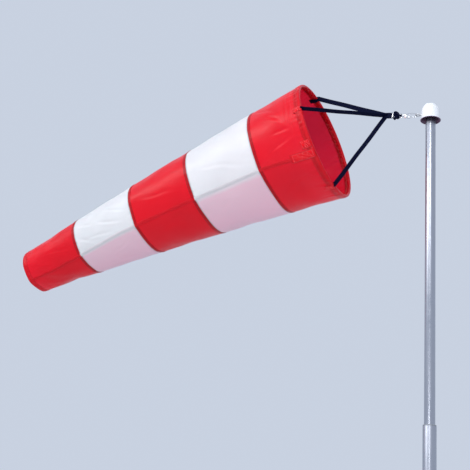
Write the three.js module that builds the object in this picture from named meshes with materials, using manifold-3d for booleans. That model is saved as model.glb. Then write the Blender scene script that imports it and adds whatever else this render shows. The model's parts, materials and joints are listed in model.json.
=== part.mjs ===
// Windsock on a telescopic pole, in millimetres, +Z up.
// The origin is at the middle of the pole's foot. The sock streams towards -X.
import * as THREE from "three";
import { mergeVertices } from "three/addons/utils/BufferGeometryUtils.js";
import Module from "manifold-3d";

const wasm = await Module();
wasm.setup();

// ---------- Driving dimensions ----------
const seatGap = 0.3; // between two pieces that are fixed to each other
const runGap = 0.3; // between a piece that turns or slides and its guide

// Pole
const topTubeDiameter = 25.4;
const tubeWall = 1.5;
const sectionGap = 1.5; // radial room between nested tubes, taken up by the guide collars
const baseExposed = 860; // from the ground to the top of the lower collar
const middleExposed = 800;
const topExposed = 770; // from the top of the upper collar to the swivel cap's rim
const sectionOverlap = 100; // what stays inside the section below, down to its lock
const collarDepth = 40;
const collarLip = 2.5;
const footFlange = 4;
const footDepth = 35;

// Twist locks
const lockPlugDepth = 30;
const lockFlange = 3;
const lockStudRadius = 5;
const lockSleeveLength = 26;
const lockSlot = 2.5;
const lockScrewHead = 4;

// Swivel cap
const capDiameter = 52;
const capWall = 2.5;
const capSide = 27; // straight part of the skirt
const capDome = 20; // height of the rounded top
const tubeIntoCap = 8;
const hubWall = 3.5;

// Ball bearing, spindle bolt
const bearingBore = 8;
const bearingOuter = 22;
const bearingWidth = 7;
const ballDiameter = 3.8;
const ballCount = 7;
const washerThickness = 1.5;
const spacerHeight = 3.5;
const boltHeadHeight = 5.3;
const boltHeadRadius = 6.5;
const boltLength = 36; // below the head

// Eye on the cap and the snap hook that hangs on it
const eyeWire = 3;
const eyeRadius = 5.5; // to the middle of the wire
const eyeHeight = 21; // above the cap's rim
const eyeShank = 4; // diameter of the threaded shank
const hookWire = 3.2;
const hookReach = 5; // radius of the hook's end bend, to the middle of the wire
const hookLength = 24; // from the eye's wire to the swivel barrel
const boltRod = 2.4; // sliding bolt of the hook
const boltTravel = 6;
const springWire = 0.5;
const springTurns = 5;
const barrelRadius = 4.2;
const barrelLength = 7;
const swivelStem = 3;
const swivelWire = 2.8;
const swivelRadius = 5; // swivel ring, to the middle of the wire
const chainRise = 8.7; // degrees that the hook's line climbs away from the pole

// Webbing
const cordRadius = 2.2;
const knotLength = 15;
const knotHeight = 21;
const knotWidth = 16;
const keeperThickness = 2;
const webbingWidth = 13;
const webbingThickness = 1.6;
const sleeveLength = 22;
const sleeveWidth = 15;
const sleeveThickness = 7;
const strapRoot = 20; // stub of each strap that is sewn into the sleeve
const strapAngles = [78.5, 172.5, 257]; // round the mouth, from the far side over the top
const strapNames = ["top", "side", "bottom"];
const patchLength = 24;
const patchWidth = 14;
const patchThickness = 1.2;

// Sock
const mouthDiameter = 325;
const tailDiameter = 130;
const sockLength = 979;
const mouthBand = 163; // the first band is shorter than the others
const bandCount = 5;
const clothWall = 1.2; // stands in for thin nylon
const hemLength = 16;
const hemRoom = 5; // inside the channel that holds the hoop
const tailHem = 14;
const hoopWire = 4;
const sockDroop = 16.3; // degrees below level at the mouth
const sockBow = 3.7; // degrees more by the tail
const bridleReach = 170; // from the mouth to the end of the sleeve, along the sock's axis

// ---------- Worked out ----------
const topRadius = topTubeDiameter / 2;
const middleRadius = topRadius + sectionGap + tubeWall;
const baseRadius = middleRadius + sectionGap + tubeWall;
const middleTop = baseExposed + middleExposed;
const capRim = middleTop + topExposed;
const capRadius = capDiameter / 2;
const mouthRadius = mouthDiameter / 2;
const tailRadius = tailDiameter / 2;
const radians = THREE.MathUtils.degToRad;

// ---------- Colours ----------
const finish = (color, roughness, metalness) => () =>
  new THREE.MeshStandardMaterial({ color, roughness, metalness });
const aluminium = finish(0xd4d8de, 0.38, 1);
const steel = finish(0xc4c8cc, 0.25, 1);
const whitePaint = finish(0xf2f4f6, 0.3, 0);
const blackPlastic = finish(0x202226, 0.5, 0);
const greyPlastic = finish(0x9aa0a6, 0.5, 0);
const rubber = finish(0x18191b, 0.8, 0);
const webbing = finish(0x0d1230, 0.85, 0);
const redCloth = finish(0xd01832, 0.7, 0);
const whiteCloth = finish(0xf0ecf2, 0.7, 0);

// ---------- Solids ----------
const part = new THREE.Group();

function solid(geometry) {
  const g = geometry.clone();
  g.deleteAttribute("normal");
  g.deleteAttribute("uv");
  const merged = mergeVertices(g, 1e-4);
  const mesh = new wasm.Mesh({
    numProp: 3,
    vertProperties: merged.attributes.position.array,
    triVerts: new Uint32Array(merged.index.array),
  });
  return new wasm.Manifold(mesh);
}

function geometryOf(made) {
  const m = made.getMesh();
  const g = new THREE.BufferGeometry();
  g.setAttribute("position", new THREE.BufferAttribute(m.vertProperties, 3));
  g.setIndex(new THREE.BufferAttribute(m.triVerts, 1));
  g.computeVertexNormals();
  return g;
}

function joined(...geometries) {
  return geometryOf(geometries.map(solid).reduce((a, b) => a.add(b)));
}

function cut(geometry, ...tools) {
  return geometryOf(tools.map(solid).reduce((a, b) => a.subtract(b), solid(geometry)));
}

function add(parent, name, geometry, material) {
  const mesh = new THREE.Mesh(geometry, material());
  mesh.name = name;
  parent.add(mesh);
  return mesh;
}

// A solid of revolution about Z. Its profile is a list of [radius, height], anticlockwise.
function turned(profile, segments) {
  const points = profile.map(([r, z]) => new THREE.Vector2(r, z));
  if (profile[0][0] > 0) points.push(points[0].clone());
  return new THREE.LatheGeometry(points, segments).rotateX(Math.PI / 2);
}

const ring = (inner, outer, low, high, segments) =>
  turned([[inner, low], [outer, low], [outer, high], [inner, high]], segments);

// A cylinder along Z with a small chamfer at both ends.
function rod(radius, low, high, segments, chamfer = 0) {
  if (!chamfer) return turned([[0, low], [radius, low], [radius, high], [0, high]], segments);
  return turned([
    [0, low], [radius - chamfer, low], [radius, low + chamfer],
    [radius, high - chamfer], [radius - chamfer, high], [0, high],
  ], segments);
}

const alongX = (geometry) => geometry.rotateY(Math.PI / 2);

// A ring of round wire about Z.
const wireRing = (radius, wire, segments, sides) =>
  new THREE.TorusGeometry(radius, wire / 2, sides, segments);

function arcPoints(centre, radius, from, to, steps) {
  return Array.from({ length: steps + 1 }, (_, i) => {
    const a = radians(from + ((to - from) * i) / steps);
    return [centre[0] + radius * Math.cos(a), centre[1] + radius * Math.sin(a)];
  });
}

// ---------- Pole ----------
const tubeSegments = 28;
const tube = (radius, low, high) => ring(radius - tubeWall, radius, low, high, tubeSegments);

// Plug that closes the foot of the base tube, with a flange to stand on.
function footPlug() {
  const inside = baseRadius - tubeWall - seatGap;
  return turned([
    [0, 0], [baseRadius - 1, 0], [baseRadius + 1, 2], [baseRadius + 1, footFlange],
    [inside, footFlange], [inside, footFlange + footDepth - 2],
    [inside - 2, footFlange + footDepth], [0, footFlange + footDepth],
  ], tubeSegments);
}

// Guide collar: a thin bush in the gap between two tubes, with a lip on the outer tube's end.
function collar(outerTube, innerTube, top) {
  const bore = innerTube + runGap;
  const sleeve = outerTube - tubeWall - seatGap;
  const lip = top - collarLip;
  return turned([
    [bore, top - collarDepth], [sleeve, top - collarDepth], [sleeve, lip], [outerTube, lip],
    [outerTube, top - 0.8], [outerTube - 0.8, top], [bore, top],
  ], tubeSegments);
}

// Twist lock at the lower end of a tube: a core pressed into it, a slit sleeve that grips
// the tube outside, and the screw that holds the sleeve on.
function twistLock(name, innerTube, outerTube, low) {
  const plug = innerTube - tubeWall - seatGap;
  const shoulder = low - lockFlange - seatGap;
  const sleeveTop = shoulder - runGap;
  const sleeveLow = sleeveTop - lockSleeveLength;
  const grip = outerTube - tubeWall - runGap;
  const studLow = sleeveLow - runGap;
  const core = turned([
    [0, studLow], [lockStudRadius, studLow], [lockStudRadius, shoulder], [innerTube, shoulder],
    [innerTube, low - seatGap], [plug, low - seatGap], [plug, low + lockPlugDepth], [0, low + lockPlugDepth],
  ], tubeSegments);
  const screwBore = rod(2.3, studLow - 1, studLow + 16, 12);
  add(part, name + "_lock_core", cut(core, screwBore), blackPlastic);
  const body = turned([
    [lockStudRadius + runGap, sleeveLow], [grip - 1, sleeveLow], [grip, sleeveLow + 1],
    [grip, sleeveTop - 1], [grip - 1, sleeveTop], [lockStudRadius + runGap, sleeveTop],
  ], tubeSegments);
  const slit = new THREE.BoxGeometry(grip * 2, lockSlot, lockSleeveLength + 2)
    .translate(grip, 0, (sleeveLow + sleeveTop) / 2);
  add(part, name + "_lock_sleeve", cut(body, slit), greyPlastic);
  const head = studLow - seatGap;
  const screw = joined(
    rod(grip - 2, head - lockScrewHead, head, 20, 0.6),
    rod(2, head - 1, studLow + 15, 12),
  );
  add(part, name + "_lock_screw", screw, steel);
}

function pole() {
  const collarGap = collarLip + seatGap;
  const middleLow = baseExposed - sectionOverlap;
  const topLow = middleTop - sectionOverlap;
  add(part, "foot_plug", footPlug(), rubber);
  add(part, "base_tube", tube(baseRadius, footFlange + seatGap, baseExposed - collarGap), aluminium);
  add(part, "lower_collar", collar(baseRadius, middleRadius, baseExposed), greyPlastic);
  twistLock("lower", middleRadius, baseRadius, middleLow);
  add(part, "middle_tube", tube(middleRadius, middleLow, middleTop - collarGap), aluminium);
  add(part, "upper_collar", collar(middleRadius, topRadius, middleTop), greyPlastic);
  twistLock("upper", topRadius, middleRadius, topLow);
  add(part, "top_tube", tube(topRadius, topLow, capRim + tubeIntoCap), aluminium);
}

// ---------- Swivel cap ----------
const plugTop = capRim + tubeIntoCap + seatGap + 3; // top of the spindle plug's flange
const spacerTop = plugTop + seatGap + spacerHeight;
const bearingLow = spacerTop + seatGap;
const bearingTop = bearingLow + bearingWidth;
const washerTop = bearingTop + seatGap + washerThickness;
const headLow = washerTop + seatGap;
const bearingSeat = bearingOuter / 2 + seatGap;
const hubRadius = bearingSeat + hubWall;
const circlipLow = bearingLow - seatGap - 1.2;

function spindle() {
  const inside = topRadius - tubeWall - seatGap;
  const top = capRim + tubeIntoCap;
  const shankRadius = bearingBore / 2 - seatGap;
  const plug = turned([
    [0, top - 32], [inside, top - 32], [inside, top + seatGap], [topRadius, top + seatGap],
    [topRadius, plugTop], [0, plugTop],
  ], tubeSegments);
  const shankBore = rod(bearingBore / 2, headLow - boltLength - 1, plugTop + 1, 20);
  add(part, "spindle_plug", cut(plug, shankBore), blackPlastic);
  const bolt = joined(
    rod(shankRadius, headLow - boltLength, headLow + 1, 20),
    rod(boltHeadRadius, headLow, headLow + boltHeadHeight, 6, 0.6),
  );
  add(part, "spindle_bolt", bolt, steel);
  const around = (low, high) => ring(bearingBore / 2 + 0.1, bearingBore / 2 + 2, low, high, 20);
  add(part, "spindle_spacer", around(plugTop + seatGap, spacerTop), steel);
  add(part, "spindle_washer", around(bearingTop + seatGap, washerTop), steel);
}

// Deep-groove ball bearing. Each race has a groove a little rounder than the balls.
function bearing() {
  const pitch = (bearingBore + bearingOuter) / 4;
  const middle = (bearingLow + bearingTop) / 2;
  const groove = ballDiameter / 2 + 0.35;
  const land = ballDiameter * 0.33; // from the pitch circle to each race's shoulder
  const reach = Math.sqrt(groove ** 2 - land ** 2);
  const open = THREE.MathUtils.radToDeg(Math.atan2(reach, land));
  const inner = [
    [bearingBore / 2 + 0.1, bearingLow], [pitch - land, bearingLow],
    ...arcPoints([pitch, middle], groove, 180 + open, 180 - open, 6),
    [pitch - land, bearingTop], [bearingBore / 2 + 0.1, bearingTop],
  ];
  const outer = [
    [pitch + land, bearingLow], [bearingOuter / 2, bearingLow], [bearingOuter / 2, bearingTop],
    [pitch + land, bearingTop], ...arcPoints([pitch, middle], groove, open, -open, 6),
  ];
  add(part, "bearing_inner_ring", turned(inner, 24), steel);
  add(part, "bearing_outer_ring", turned(outer, 24), steel);
  const ball = (i, radius) => {
    const a = (2 * Math.PI * i) / ballCount;
    return new THREE.SphereGeometry(radius, 8, 6)
      .translate(pitch * Math.cos(a), pitch * Math.sin(a), middle);
  };
  const pockets = Array.from({ length: ballCount }, (_, i) => ball(i, ballDiameter / 2 + 0.25));
  const cageHalf = ballDiameter / 2 + 0.85;
  add(part, "bearing_cage", cut(ring(pitch - 0.6, pitch + 0.6, middle - cageHalf, middle + cageHalf, 28),
    ...pockets), steel);
  for (let i = 0; i < ballCount; i += 1) add(part, "bearing_ball_" + (i + 1), ball(i, ballDiameter / 2), steel);
}

// Cap: a domed cup with a hub inside that holds the bearing.
const capSegments = 30;

function cap() {
  const inner = capRadius - capWall;
  const ceiling = capRim + capSide;
  const dome = (radius, height, from, to) =>
    arcPoints([0, 0], 1, from, to, 7).map(([x, y]) => [Math.max(0, radius * x), ceiling + height * y]);
  const shell = turned([
    [inner, capRim], [capRadius - 0.6, capRim], [capRadius, capRim + 0.6],
    ...dome(capRadius, capDome, 0, 90), [0, ceiling],
    [inner, ceiling],
  ], capSegments);
  const headRoom = boltHeadRadius + 2.5;
  const headTop = headLow + boltHeadHeight + 2;
  const hub = rod(hubRadius, circlipLow - 1.5, ceiling + 1, capSegments);
  const hubBore = turned([
    [0, circlipLow - 3], [bearingSeat, circlipLow - 3], [bearingSeat, circlipLow - seatGap],
    [bearingSeat + 1.2, circlipLow - seatGap], [bearingSeat + 1.2, bearingLow],
    [bearingSeat, bearingLow], [bearingSeat, bearingTop + seatGap],
    [headRoom, bearingTop + seatGap], [headRoom, headTop], [0, headTop],
  ], capSegments);
  const eyeBore = alongX(rod(eyeShank / 2 + 0.15, -capRadius - 1, -inner + 1, 16))
    .translate(0, 0, capRim + eyeHeight);
  add(part, "swivel_cap", cut(joined(shell, hub), hubBore, eyeBore), whitePaint);
  const clip = ring(bearingSeat - 2, bearingSeat + 0.9, circlipLow, circlipLow + 1.2, 32);
  const clipGap = new THREE.BoxGeometry(8, 6, 4).translate(bearingSeat, 0, circlipLow);
  add(part, "bearing_circlip", cut(clip, clipGap), steel);
}

// Eye bolt through the cap's skirt, its ring lying level, with a nut inside.
const eyeCentre = -(capRadius + 1.5 + eyeRadius);
const eyeWireX = eyeCentre - eyeRadius; // the far side of the ring, which the hook hangs on
const eyeZ = capRim + eyeHeight;

function capEye() {
  const inner = capRadius - capWall;
  const shank = alongX(rod(eyeShank / 2, eyeCentre + eyeRadius - 0.4, -inner + 4.5, 14));
  const shoulder = alongX(rod(eyeShank / 2 + 1.5, -capRadius - 1.8, -capRadius - seatGap, 14));
  const loop = wireRing(eyeRadius, eyeWire, 24, 10).translate(eyeCentre, 0, 0);
  const eye = joined(loop, shank, shoulder).translate(0, 0, eyeZ);
  add(part, "cap_eye", eye, steel);
  const nut = cut(
    alongX(rod(3.6, -inner + 1.1, -inner + 4, 6)),
    alongX(rod(eyeShank / 2 + 0.15, -inner, -inner + 6, 14)),
  ).translate(0, 0, eyeZ);
  add(part, "cap_eye_nut", nut, steel);
}

// ---------- Snap hook ----------
// In the hook's own frame the eye's wire is at the origin and the hook runs towards -X.
const chain = new THREE.Group();
chain.position.set(eyeWireX, 0, eyeZ);
chain.rotation.y = radians(chainRise);
part.add(chain);

const hookEnd = -(eyeWire / 2 + hookWire / 2 + runGap); // how far past the eye's wire the bend lies
const barrelEnd = hookLength + barrelLength;
const swivelCentre = barrelEnd + swivelRadius + swivelWire / 2 + 1;

// A wire bent along points in the XZ plane, given as [along the hook, up].
function bentWire(points, wire, sides, steps) {
  const path = new THREE.CurvePath();
  const at = ([s, up]) => new THREE.Vector3(-s, 0, up);
  points.slice(1).forEach((p, i) => path.add(new THREE.LineCurve3(at(points[i]), at(p))));
  const section = new THREE.Shape().absarc(0, 0, wire / 2, 0, 2 * Math.PI);
  const curve = new THREE.CatmullRomCurve3(points.map(at), false, "centripetal");
  return new THREE.ExtrudeGeometry(section, { steps, extrudePath: curve, curveSegments: sides / 2 });
}

function snapHook() {
  const bend = hookReach + hookEnd; // middle of the end bend
  const lockStart = bend + 5; // the nose ends here
  const tubeRadius = boltRod / 2 + 1.3;
  const tubeStart = lockStart + boltTravel + 1.5;
  const tubeEnd = barrelEnd - 1.5;
  const wire = bentWire([
    [hookLength + 1, 2.5], [hookLength - 3, hookReach - 0.4], [hookLength - 7, hookReach],
    [bend + 4, hookReach],
    ...arcPoints([bend, 0], hookReach, 90, 270, 8),
    [lockStart, -hookReach],
  ], hookWire, 8, 26);
  const lockTube = alongX(rod(tubeRadius, -tubeEnd, -tubeStart, 16, 0.4)).translate(0, 0, -hookReach);
  const barrel = alongX(rod(barrelRadius, -barrelEnd, -hookLength, 20, 0.5));
  const web = new THREE.BoxGeometry(4, 2.6, hookReach).translate(-hookLength - 1.4, 0, -hookReach / 2);
  const boltBore = alongX(rod(boltRod / 2 + 0.2, -tubeEnd + 1.2, -tubeStart + 1, 14))
    .translate(0, 0, -hookReach);
  const studSlot = new THREE.BoxGeometry(boltTravel + 3, 1.8, tubeRadius + 1)
    .translate(-(tubeStart + boltTravel / 2 + 1), 0, -hookReach - tubeRadius / 2 - 0.5);
  const stemBore = alongX(rod(swivelStem / 2 + 0.3, -barrelEnd - 1, -hookLength - 1, 16));
  const headBore = alongX(rod(swivelStem / 2 + 1.3, -barrelEnd + 1.8, -hookLength - 1, 16));
  add(chain, "hook_body", cut(joined(wire, lockTube, barrel, web), boltBore, studSlot, stemBore, headBore),
    steel);

  const rodEnd = tubeStart + 2.8; // what stays in the tube when the hook is shut
  const bolt = joined(
    alongX(rod(boltRod / 2, -rodEnd, -lockStart - runGap, 14)),
    new THREE.CylinderGeometry(0.7, 0.7, tubeRadius + 1.6, 10).rotateX(Math.PI / 2)
      .translate(-(tubeStart + 1.2), 0, -(tubeRadius + 1.6) / 2),
  ).translate(0, 0, -hookReach);
  add(chain, "hook_bolt", bolt, steel);

  // Spring behind the bolt, a helix from the bolt's end to the end of its bore.
  const springStart = rodEnd + runGap + springWire / 2;
  const springEnd = tubeEnd - 1.2 - runGap - springWire / 2;
  const coil = Array.from({ length: springTurns * 8 + 1 }, (_, i) => {
    const a = (2 * Math.PI * i) / 8;
    const s = springStart + ((springEnd - springStart) * i) / (springTurns * 8);
    const r = (boltRod - springWire) / 2;
    return new THREE.Vector3(-s, r * Math.cos(a), r * Math.sin(a) - hookReach);
  });
  const spring = new THREE.ExtrudeGeometry(new THREE.Shape().absarc(0, 0, springWire / 2, 0, 2 * Math.PI), {
    steps: springTurns * 8, curveSegments: 3, extrudePath: new THREE.CatmullRomCurve3(coil),
  });
  add(chain, "hook_spring", spring, steel);
}

// Ring on a headed stem that turns in the hook's barrel.
function swivelRing() {
  const stem = alongX(rod(swivelStem / 2, -(swivelCentre - swivelRadius + 0.4), -hookLength - 1.6, 14));
  const head = alongX(rod(swivelStem / 2 + 1, -(barrelEnd - 2.1), -hookLength - 1.6, 14));
  const loop = wireRing(swivelRadius, swivelWire, 24, 10).rotateX(Math.PI / 2).translate(-swivelCentre, 0, 0);
  add(chain, "swivel_ring", joined(stem, head, loop), steel);
}

// ---------- Webbing at the apex of the bridle ----------
const loopInner = swivelCentre + swivelRadius - swivelWire / 2 - runGap - cordRadius;
const knotStart = swivelCentre + swivelRadius + swivelWire / 2 + runGap;
const keeperStart = knotStart + knotLength + seatGap;
const sleeveStart = keeperStart + keeperThickness + seatGap;
const sleeveEnd = sleeveStart + sleeveLength;

// A cord loop through the swivel ring that ends in a tight knot.
function cordKnot() {
  const aside = swivelWire / 2 + cordRadius + runGap;
  const bend = loopInner + aside;
  const route = [
    [knotStart + 3, aside], ...arcPoints([bend, 0], aside, 90, 270, 8), [knotStart + 3, -aside],
  ].map(([s, y]) => new THREE.Vector3(-s, y, 0));
  const section = new THREE.Shape().absarc(0, 0, cordRadius, 0, 2 * Math.PI);
  const loop = new THREE.ExtrudeGeometry(section, {
    steps: 20, curveSegments: 4, extrudePath: new THREE.CatmullRomCurve3(route, false, "centripetal"),
  });
  const half = knotLength / 2;
  const lump = turned([
    [0, -half], [6.5, -half], [9, -half + 2], [10, 0], [9, half - 2], [6, half], [0, half],
  ], 16);
  const knot = alongX(lump).scale(1, knotWidth / 20, knotHeight / 20).translate(-knotStart - half, 0, 0);
  add(chain, "knotted_loop", joined(loop, knot), webbing);
}

function keeper() {
  const plate = new THREE.BoxGeometry(keeperThickness, sleeveThickness + 2, sleeveWidth + 2)
    .translate(-keeperStart - keeperThickness / 2, 0, 0);
  add(chain, "keeper_ring", plate, steel);
}

// ---------- Sock frame ----------
// Local x is up, y is the far side and z runs along the sock from its mouth.
const apex = new THREE.Vector3(-sleeveEnd, 0, 0)
  .applyAxisAngle(new THREE.Vector3(0, 1, 0), radians(chainRise)).add(chain.position);
const droop = radians(sockDroop);
const along = new THREE.Vector3(-Math.cos(droop), 0, -Math.sin(droop));
const up = new THREE.Vector3(-Math.sin(droop), 0, Math.cos(droop));
const sock = new THREE.Group();
sock.quaternion.setFromRotationMatrix(new THREE.Matrix4().makeBasis(up, new THREE.Vector3(0, 1, 0), along));
sock.position.copy(apex).addScaledVector(along, bridleReach);
part.add(sock);

// A flat bar from one point to another, its width in the plane that also holds the sock's axis.
function strapBar(from, to, angle) {
  const a = radians(angle);
  const direction = to.clone().sub(from);
  const middle = from.clone().add(to).multiplyScalar(0.5);
  const side = new THREE.Vector3(Math.cos(a), -Math.sin(a), 0);
  const length = direction.length();
  direction.normalize();
  const across = side.clone().cross(direction);
  const turn = new THREE.Matrix4().makeBasis(across, side, direction).setPosition(middle);
  return new THREE.BoxGeometry(webbingWidth, webbingThickness, length).applyMatrix4(turn);
}

// Where a strap's middle line lies at a distance from the apex, and where it ends at the mouth.
const strapEndRadius = mouthRadius - 4;
const strapDirection = (angle) => {
  const a = radians(angle);
  const rim = new THREE.Vector3(Math.sin(a) * strapEndRadius, Math.cos(a) * strapEndRadius, bridleReach);
  return rim.normalize();
};
const strapPoint = (angle, distance) =>
  strapDirection(angle).multiplyScalar(distance).add(new THREE.Vector3(0, 0, -bridleReach));

function bridle() {
  // The sleeve is made in the hook's frame and carried over into the sock's.
  const sleeve = new THREE.BoxGeometry(sleeveLength + 4, sleeveThickness, sleeveWidth)
    .translate(-(sleeveStart + sleeveLength / 2 + 2), 0, 0);
  chain.updateMatrix();
  sock.updateMatrix();
  sleeve.applyMatrix4(chain.matrix).applyMatrix4(sock.matrix.clone().invert());
  const roots = strapAngles.map((angle) => strapBar(strapPoint(angle, 0), strapPoint(angle, strapRoot), angle));
  add(sock, "bridle_sleeve", joined(sleeve, ...roots), webbing);
  // Each strap runs on past the rim and is trimmed level with the front of the hem.
  const past = Math.hypot(strapEndRadius, bridleReach) + webbingWidth;
  const trim = new THREE.BoxGeometry(mouthDiameter * 2, mouthDiameter * 2, webbingWidth * 4)
    .translate(0, 0, webbingWidth * 2 - seatGap);
  strapAngles.forEach((angle, i) => {
    const strap = strapBar(strapPoint(angle, strapRoot + seatGap), strapPoint(angle, past), angle);
    add(sock, "strap_" + strapNames[i], cut(strap, trim), webbing);
  });
}

// ---------- Sock ----------
const taper = (mouthRadius - tailRadius) / sockLength;
const radiusAt = (z) => mouthRadius - taper * z;
const sockSegments = 40;

// Bends a piece that was made straight along z so that it follows the sock's bow.
function bowed(geometry) {
  const curvature = radians(sockBow) / sockLength;
  const position = geometry.attributes.position;
  for (let i = 0; i < position.count; i += 1) {
    const x = position.getX(i);
    const turn = curvature * position.getZ(i);
    position.setX(i, x * Math.cos(turn) - (1 - Math.cos(turn)) / curvature);
    position.setZ(i, Math.sin(turn) / curvature + x * Math.sin(turn));
  }
  return geometry;
}

// A conical shell of the cloth between two places along the sock.
function clothRing(from, to, wall, steps) {
  const outer = Array.from({ length: steps + 1 }, (_, i) => from + ((to - from) * i) / steps);
  const profile = [
    ...outer.map((z) => [radiusAt(z), z]),
    ...outer.reverse().map((z) => [radiusAt(z) - wall, z]),
  ];
  return bowed(turned(profile, sockSegments));
}

function mouth() {
  const outer = radiusAt(0);
  const deep = hemRoom + 2 * clothWall;
  const hem = turned([
    [outer - deep, 0], [outer, 0], [radiusAt(hemLength), hemLength],
    [radiusAt(hemLength) - clothWall, hemLength], [outer - clothWall, clothWall],
    [outer - clothWall - hemRoom, clothWall], [outer - deep + clothWall, hemLength], [outer - deep, hemLength],
  ], sockSegments);
  add(sock, "mouth_hem", bowed(hem), redCloth);
  const hoop = wireRing(outer - clothWall - hemRoom / 2, hoopWire, sockSegments, 6)
    .translate(0, 0, clothWall + seatGap + hoopWire / 2);
  add(sock, "mouth_hoop", hoop, steel);
  strapAngles.forEach((angle, i) => {
    const lift = outer + seatGap + patchThickness / 2 + 0.1;
    const patch = new THREE.BoxGeometry(patchThickness, patchWidth, patchLength)
      .translate(0, 0, patchLength / 2).rotateY(-Math.atan(taper))
      .translate(lift, 0, 0.5).rotateZ(radians(90 - angle));
    add(sock, "strap_patch_" + strapNames[i], patch, webbing);
  });
}

function bands() {
  const pitch = (sockLength - mouthBand) / (bandCount - 1);
  for (let i = 0; i < bandCount; i += 1) {
    const start = i === 0 ? hemLength : mouthBand + pitch * (i - 1);
    const end = i === bandCount - 1 ? sockLength - tailHem : mouthBand + pitch * i;
    const red = i % 2 === 0;
    const name = (red ? "red_band_" : "white_band_") + (i + 1);
    const shell = clothRing(start + seatGap / 2, end - seatGap / 2, clothWall, 2);
    add(sock, name, shell, red ? redCloth : whiteCloth);
  }
  const hem = clothRing(sockLength - tailHem + seatGap / 2, sockLength, clothWall * 2, 1);
  add(sock, "tail_hem", hem, redCloth);
}

pole();
spindle();
bearing();
cap();
capEye();
snapHook();
swivelRing();
cordKnot();
keeper();
bridle();
mouth();
bands();

export default part;
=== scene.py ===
import json
import math

import bpy
import numpy as np
from bpy.props import FloatProperty, FloatVectorProperty, IntProperty, PointerProperty
from mathutils import Matrix, Vector


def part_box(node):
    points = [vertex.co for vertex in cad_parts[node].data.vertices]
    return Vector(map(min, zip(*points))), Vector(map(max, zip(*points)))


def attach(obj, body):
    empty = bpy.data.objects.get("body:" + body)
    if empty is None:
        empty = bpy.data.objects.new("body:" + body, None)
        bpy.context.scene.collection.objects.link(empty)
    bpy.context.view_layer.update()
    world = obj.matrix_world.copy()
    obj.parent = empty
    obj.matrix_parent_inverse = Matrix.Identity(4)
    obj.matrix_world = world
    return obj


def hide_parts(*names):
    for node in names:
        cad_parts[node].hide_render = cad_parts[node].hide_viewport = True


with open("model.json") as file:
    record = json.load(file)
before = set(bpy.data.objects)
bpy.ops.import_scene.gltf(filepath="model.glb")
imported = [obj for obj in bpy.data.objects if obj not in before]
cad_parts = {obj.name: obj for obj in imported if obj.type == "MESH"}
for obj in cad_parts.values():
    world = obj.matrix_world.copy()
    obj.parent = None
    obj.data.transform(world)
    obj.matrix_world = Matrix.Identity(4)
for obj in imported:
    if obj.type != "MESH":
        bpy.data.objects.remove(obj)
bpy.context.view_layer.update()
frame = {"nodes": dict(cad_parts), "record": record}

bl_info = {
    "name": "Windsock on a telescopic pole",
    "version": (1, 0, 0),
    "blender": (4, 5, 0),
    "location": "3D View > Sidebar > Windsock",
    "description": "Builds a fabric windsock, its bridle, snap hook, swivel cap and pole round a fixed frame",
    "category": "Add Mesh",
}

MM = 0.001
MERGE = 0.002 * MM  # corners this near are one
NEAR = Vector((0, -1, 0))  # towards the viewer

JOINTS = {j["name"]: j for j in frame["record"]["behaviour"]["joints"]}
BODY_OF = {node: body for body, nodes in frame["record"]["behaviour"]["bodies"].items() for node in nodes}
SLOT_OF = {part["node"]: part["material_slot"] for part in frame["record"]["subparts"]}
BANDS = ["red_band_1", "white_band_2", "red_band_3", "white_band_4", "red_band_5"]
STRAPS = ["top", "side", "bottom"]
FINISHES = {}  # every finish's material, by the name it was asked for
SHARED = {}  # the cloth's surface and the stitch lines of patches, made once


# ---------- Places read from the frame ----------

def node_points(name):
    """The corners of a frame node's mesh, which lie where the node is."""
    mesh = frame["nodes"][name].data
    points = np.empty(len(mesh.vertices) * 3)
    mesh.vertices.foreach_get("co", points)
    return points.reshape(-1, 3)


def long_axis(name):
    """The two ends of a long node's middle line, its width with its direction, and its thickness."""
    points = np.unique(node_points(name).round(6), axis=0)
    middle = points.mean(axis=0)
    axes = np.linalg.svd(points - middle)[2]
    reach = [(points - middle) @ a for a in axes]
    ends = [middle + axes[0] * reach[0].min(), middle + axes[0] * reach[0].max()]
    ends.sort(key=lambda p: -p[0])
    sizes = [r.max() - r.min() for r in reach]
    return Vector(ends[0]), Vector(ends[1]), sizes[1], Vector(axes[1]), sizes[2]


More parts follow.
